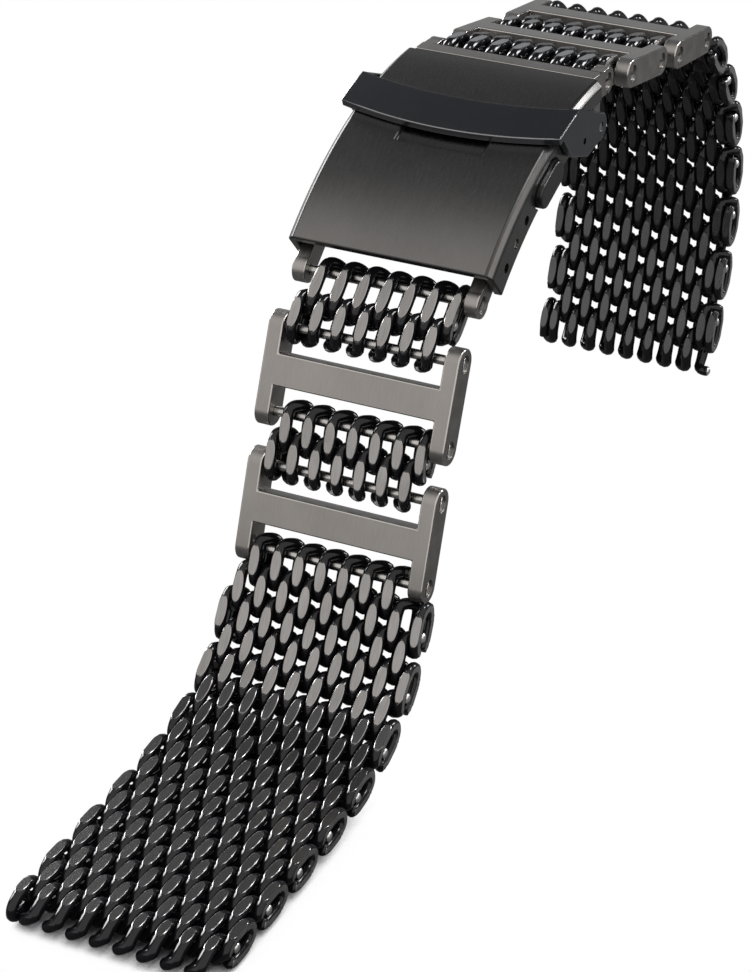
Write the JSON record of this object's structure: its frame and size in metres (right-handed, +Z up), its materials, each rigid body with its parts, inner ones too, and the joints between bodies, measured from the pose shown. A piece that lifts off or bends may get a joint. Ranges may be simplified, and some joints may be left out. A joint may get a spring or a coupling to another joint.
{
  "type": "mesh watch band",
  "caption": "Wire mesh watch band with open frame links, joined by a folding clasp with a safety latch and two push buttons.",
  "frame": {"origin": "middle of the lower folding blade's wrist side, where a stand or wrist bears on the clasp", "axes": "+X across the band, to the side that shows the screw heads; +Y from the front tip to the rear; +Z up, away from the wrist at the clasp"},
  "size_m": [0.0238, 0.1285, 0.0565],
  "materials": {
    "brushed_frames": "brushed, gunmetal",
    "screws": "polished",
    "dark_clasp": "satin, dark gunmetal",
    "black_latch": "glossy black",
    "black_wire": "black coated wire, bright where it catches the light",
    "black_buttons": "satin black",
    "inner_blades": "satin"
  },
  "bodies": {
    "clasp_base": {"folding_blade_lower": "inner_blades", "rear_end_link": "brushed_frames", "rear_end_link_pin": "screws", "blade_hinge_pin": "screws"},
    "folding_blade_upper": {"folding_blade_upper": "inner_blades"},
    "clasp_cover": {"clasp_cover": "dark_clasp", "cover_hinge_pin": "screws"},
    "safety_latch": {"safety_latch": "black_latch"},
    "push_button_left": {"push_button_left": "black_buttons"},
    "push_button_right": {"push_button_right": "black_buttons"},
    "front_end_link": {"front_end_link": "brushed_frames", "front_end_link_pins": "screws"},
    "front_clasp_row_2": {"front_clasp_row_2": "black_wire"},
    "front_clasp_row_1": {"front_clasp_row_1": "black_wire"},
    "front_frame_2": {"front_frame_2": "brushed_frames", "front_frame_2_pins": "screws"},
    "front_link_row_2": {"front_link_row_2": "black_wire"},
    "front_link_row_1": {"front_link_row_1": "black_wire"},
    "front_frame_1": {"front_frame_1": "brushed_frames", "front_frame_1_pins": "screws"},
    "front_row_01": {"front_row_01": "black_wire"},
    "front_row_02": {"front_row_02": "black_wire"},
    "front_row_03": {"front_row_03": "black_wire"},
    "front_row_04": {"front_row_04": "black_wire"},
    "front_row_05": {"front_row_05": "black_wire"},
    "front_row_06": {"front_row_06": "black_wire"},
    "front_row_07": {"front_row_07": "black_wire"},
    "front_row_08": {"front_row_08": "black_wire"},
    "front_row_09": {"front_row_09": "black_wire"},
    "front_row_10": {"front_row_10": "black_wire"},
    "front_row_11": {"front_row_11": "black_wire"},
    "front_row_12": {"front_row_12": "black_wire"},
    "front_row_13": {"front_row_13": "black_wire"},
    "front_row_14": {"front_row_14": "black_wire"},
    "front_row_15": {"front_row_15": "black_wire"},
    "front_row_16": {"front_row_16": "black_wire"},
    "front_row_17": {"front_row_17": "black_wire"},
    "rear_clasp_row_1": {"rear_clasp_row_1": "black_wire"},
    "rear_clasp_row_2": {"rear_clasp_row_2": "black_wire"},
    "rear_frame_1": {"rear_frame_1": "brushed_frames", "rear_frame_1_pins": "screws"},
    "rear_link_row_1": {"rear_link_row_1": "black_wire"},
    "rear_link_row_2": {"rear_link_row_2": "black_wire"},
    "rear_frame_2": {"rear_frame_2": "brushed_frames", "rear_frame_2_pins": "screws"},
    "rear_row_01": {"rear_row_01": "black_wire"},
    "rear_row_02": {"rear_row_02": "black_wire"},
    "rear_row_03": {"rear_row_03": "black_wire"},
    "rear_row_04": {"rear_row_04": "black_wire"},
    "rear_row_05": {"rear_row_05": "black_wire"},
    "rear_row_06": {"rear_row_06": "black_wire"},
    "rear_row_07": {"rear_row_07": "black_wire"},
    "rear_row_08": {"rear_row_08": "black_wire"},
    "rear_row_09": {"rear_row_09": "black_wire"},
    "rear_row_10": {"rear_row_10": "black_wire"},
    "rear_row_11": {"rear_row_11": "black_wire"},
    "rear_row_12": {"rear_row_12": "black_wire"},
    "rear_row_13": {"rear_row_13": "black_wire"},
    "rear_row_14": {"rear_row_14": "black_wire"},
    "rear_row_15": {"rear_row_15": "black_wire"}
  },
  "joints": [
    {"name": "blade_hinge", "type": "hinge", "parent": "clasp_base", "child": "folding_blade_upper", "pos_m": [0, -0.00967, -0.00178], "axis": [1, 0, 0], "range_deg": [0, 160]},
    {"name": "cover_hinge", "type": "hinge", "parent": "folding_blade_upper", "child": "clasp_cover", "pos_m": [0, 0.00496, 0.00329], "axis": [1, 0, 0], "range_deg": [-160, 0]},
    {"name": "safety_latch_hinge", "type": "hinge", "parent": "clasp_cover", "child": "safety_latch", "pos_m": [0, 0.00496, 0.00329], "axis": [1, 0, 0], "range_deg": [-105, 0]},
    {"name": "push_button_left_travel", "type": "slide", "parent": "clasp_cover", "child": "push_button_left", "axis": [1, 0, 0], "range_m": [0, 0.0005], "stiffness_N_per_m": 200},
    {"name": "push_button_right_travel", "type": "slide", "parent": "clasp_cover", "child": "push_button_right", "axis": [-1, 0, 0], "range_m": [0, 0.0005], "stiffness_N_per_m": 200},
    {"name": "front_end_link_hinge", "type": "hinge", "parent": "clasp_cover", "child": "front_end_link", "pos_m": [0, -0.01355, -0.00218], "axis": [1, 0, 0], "range_deg": [-4, 40]},
    {"name": "front_clasp_row_2_hinge", "type": "hinge", "parent": "front_end_link", "child": "front_clasp_row_2", "pos_m": [0, -0.01895, -0.00663], "axis": [-1, 0, 0], "range_deg": [-24.5, 25.5]},
    {"name": "front_clasp_row_1_hinge", "type": "hinge", "parent": "front_clasp_row_2", "child": "front_clasp_row_1", "pos_m": [0, -0.02167, -0.00891], "axis": [1, 0, 0], "range_deg": [-28, 8]},
    {"name": "front_frame_2_hinge", "type": "hinge", "parent": "front_clasp_row_1", "child": "front_frame_2", "pos_m": [0, -0.02337, -0.01094], "axis": [-1, 0, 0], "range_deg": [-12, 48]},
    {"name": "front_link_row_2_hinge", "type": "hinge", "parent": "front_frame_2", "child": "front_link_row_2", "pos_m": [0, -0.02652, -0.01873], "axis": [1, 0, 0], "range_deg": [-34, 26]},
    {"name": "front_link_row_1_hinge", "type": "hinge", "parent": "front_link_row_2", "child": "front_link_row_1", "pos_m": [0, -0.02734, -0.02125], "axis": [-1, 0, 0], "range_deg": [-19, 17]},
    {"name": "front_frame_1_hinge", "type": "hinge", "parent": "front_link_row_1", "child": "front_frame_1", "pos_m": [0, -0.0282, -0.02376], "axis": [1, 0, 0], "range_deg": [-29, 31]},
    {"name": "front_row_01_hinge", "type": "hinge", "parent": "front_frame_1", "child": "front_row_01", "pos_m": [0, -0.03107, -0.03165], "axis": [-1, 0, 0], "range_deg": [-32, 28]},
    {"name": "front_row_02_hinge", "type": "hinge", "parent": "front_row_01", "child": "front_row_02", "pos_m": [0, -0.03207, -0.03411], "axis": [1, 0, 0], "range_deg": [-15, 21]},
    {"name": "front_row_03_hinge", "type": "hinge", "parent": "front_row_02", "child": "front_row_03", "pos_m": [0, -0.03334, -0.03683], "axis": [-1, 0, 0], "range_deg": [-25, 11]},
    {"name": "front_row_04_hinge", "type": "hinge", "parent": "front_row_03", "child": "front_row_04", "pos_m": [0, -0.03493, -0.03937], "axis": [1, 0, 0], "range_deg": [-8, 28]},
    {"name": "front_row_05_hinge", "type": "hinge", "parent": "front_row_04", "child": "front_row_05", "pos_m": [0, -0.03693, -0.0416], "axis": [-1, 0, 0], "range_deg": [-29, 7]},
    {"name": "front_row_06_hinge", "type": "hinge", "parent": "front_row_05", "child": "front_row_06", "pos_m": [0, -0.03933, -0.04341], "axis": [1, 0, 0], "range_deg": [-7, 29]},
    {"name": "front_row_07_hinge", "type": "hinge", "parent": "front_row_06", "child": "front_row_07", "pos_m": [0, -0.04202, -0.04472], "axis": [-1, 0, 0], "range_deg": [-27, 9]},
    {"name": "front_row_08_hinge", "type": "hinge", "parent": "front_row_07", "child": "front_row_08", "pos_m": [0, -0.04489, -0.0456], "axis": [1, 0, 0], "range_deg": [-12, 24]},
    {"name": "front_row_09_hinge", "type": "hinge", "parent": "front_row_08", "child": "front_row_09", "pos_m": [0, -0.04784, -0.04617], "axis": [-1, 0, 0], "range_deg": [-22, 14]},
    {"name": "front_row_10_hinge", "type": "hinge", "parent": "front_row_09", "child": "front_row_10", "pos_m": [0, -0.05082, -0.04654], "axis": [1, 0, 0], "range_deg": [-15, 21]},
    {"name": "front_row_11_hinge", "type": "hinge", "parent": "front_row_10", "child": "front_row_11", "pos_m": [0, -0.05381, -0.04674], "axis": [-1, 0, 0], "range_deg": [-19, 17]},
    {"name": "front_row_12_hinge", "type": "hinge", "parent": "front_row_11", "child": "front_row_12", "pos_m": [0, -0.0568, -0.0469], "axis": [1, 0, 0], "range_deg": [-17, 19]},
    {"name": "front_row_13_hinge", "type": "hinge", "parent": "front_row_12", "child": "front_row_13", "pos_m": [0, -0.0598, -0.04701], "axis": [-1, 0, 0], "range_deg": [-18.5, 17.5]},
    {"name": "front_row_14_hinge", "type": "hinge", "parent": "front_row_13", "child": "front_row_14", "pos_m": [0, -0.0628, -0.04709], "axis": [1, 0, 0], "range_deg": [-18, 18]},
    {"name": "front_row_15_hinge", "type": "hinge", "parent": "front_row_14", "child": "front_row_15", "pos_m": [0, -0.0658, -0.04716], "axis": [-1, 0, 0], "range_deg": [-18, 18]},
    {"name": "front_row_16_hinge", "type": "hinge", "parent": "front_row_15", "child": "front_row_16", "pos_m": [0, -0.0688, -0.04724], "axis": [1, 0, 0], "range_deg": [-18, 18]},
    {"name": "front_row_17_hinge", "type": "hinge", "parent": "front_row_16", "child": "front_row_17", "pos_m": [0, -0.0718, -0.04732], "axis": [-1, 0, 0], "range_deg": [-17.5, 18.5]},
    {"name": "rear_clasp_row_1_hinge", "type": "hinge", "parent": "clasp_base", "child": "rear_clasp_row_1", "pos_m": [0, 0.01126, 0.00569], "axis": [-1, 0, 0], "range_deg": [-25.4, 14.6]},
    {"name": "rear_clasp_row_2_hinge", "type": "hinge", "parent": "rear_clasp_row_1", "child": "rear_clasp_row_2", "pos_m": [0, 0.01487, 0.00512], "axis": [1, 0, 0], "range_deg": [-11, 25]},
    {"name": "rear_frame_1_hinge", "type": "hinge", "parent": "rear_clasp_row_2", "child": "rear_frame_1", "pos_m": [0, 0.01751, 0.00436], "axis": [-1, 0, 0], "range_deg": [-24, 36]},
    {"name": "rear_link_row_1_hinge", "type": "hinge", "parent": "rear_frame_1", "child": "rear_link_row_1", "pos_m": [0, 0.02579, 0.0029], "axis": [1, 0, 0], "range_deg": [-29, 31]},
    {"name": "rear_link_row_2_hinge", "type": "hinge", "parent": "rear_link_row_1", "child": "rear_link_row_2", "pos_m": [0, 0.02849, 0.00238], "axis": [-1, 0, 0], "range_deg": [-20, 16]},
    {"name": "rear_frame_2_hinge", "type": "hinge", "parent": "rear_link_row_2", "child": "rear_frame_2", "pos_m": [0, 0.03116, 0.00176], "axis": [1, 0, 0], "range_deg": [-35, 25]},
    {"name": "rear_row_01_hinge", "type": "hinge", "parent": "rear_frame_2", "child": "rear_row_01", "pos_m": [0, 0.03948, 0.00059], "axis": [-1, 0, 0], "range_deg": [-72, 8]},
    {"name": "rear_row_02_hinge", "type": "hinge", "parent": "rear_row_01", "child": "rear_row_02", "pos_m": [0, 0.04159, -0.00118], "axis": [1, 0, 0], "range_deg": [-14, 22]},
    {"name": "rear_row_03_hinge", "type": "hinge", "parent": "rear_row_02", "child": "rear_row_03", "pos_m": [0, 0.04389, -0.0034], "axis": [-1, 0, 0], "range_deg": [-24, 12]},
    {"name": "rear_row_04_hinge", "type": "hinge", "parent": "rear_row_03", "child": "rear_row_04", "pos_m": [0, 0.04595, -0.00585], "axis": [1, 0, 0], "range_deg": [-12, 24]},
    {"name": "rear_row_05_hinge", "type": "hinge", "parent": "rear_row_04", "child": "rear_row_05", "pos_m": [0, 0.04774, -0.00851], "axis": [-1, 0, 0], "range_deg": [-25, 11]},
    {"name": "rear_row_06_hinge", "type": "hinge", "parent": "rear_row_05", "child": "rear_row_06", "pos_m": [0, 0.04919, -0.01136], "axis": [1, 0, 0], "range_deg": [-10, 26]},
    {"name": "rear_row_07_hinge", "type": "hinge", "parent": "rear_row_06", "child": "rear_row_07", "pos_m": [0, 0.05023, -0.01438], "axis": [-1, 0, 0], "range_deg": [-26, 10]},
    {"name": "rear_row_08_hinge", "type": "hinge", "parent": "rear_row_07", "child": "rear_row_08", "pos_m": [0, 0.05084, -0.01752], "axis": [1, 0, 0], "range_deg": [-11, 25]},
    {"name": "rear_row_09_hinge", "type": "hinge", "parent": "rear_row_08", "child": "rear_row_09", "pos_m": [0, 0.05107, -0.02072], "axis": [-1, 0, 0], "range_deg": [-25, 11]},
    {"name": "rear_row_10_hinge", "type": "hinge", "parent": "rear_row_09", "child": "rear_row_10", "pos_m": [0, 0.0509, -0.02391], "axis": [1, 0, 0], "range_deg": [-12, 24]},
    {"name": "rear_row_11_hinge", "type": "hinge", "parent": "rear_row_10", "child": "rear_row_11", "pos_m": [0, 0.0504, -0.02707], "axis": [-1, 0, 0], "range_deg": [-23, 13]},
    {"name": "rear_row_12_hinge", "type": "hinge", "parent": "rear_row_11", "child": "rear_row_12", "pos_m": [0, 0.04962, -0.03018], "axis": [1, 0, 0], "range_deg": [-15, 21]},
    {"name": "rear_row_13_hinge", "type": "hinge", "parent": "rear_row_12", "child": "rear_row_13", "pos_m": [0, 0.04869, -0.03324], "axis": [-1, 0, 0], "range_deg": [-20, 16]},
    {"name": "rear_row_14_hinge", "type": "hinge", "parent": "rear_row_13", "child": "rear_row_14", "pos_m": [0, 0.04765, -0.03626], "axis": [1, 0, 0], "range_deg": [-17, 19]},
    {"name": "rear_row_15_hinge", "type": "hinge", "parent": "rear_row_14", "child": "rear_row_15", "pos_m": [0, 0.04655, -0.03927], "axis": [-1, 0, 0], "range_deg": [-19, 17]}
  ],
  "couplings": [
    {"joint": "cover_hinge", "follows": "blade_hinge", "ratio": -1}
  ]
}
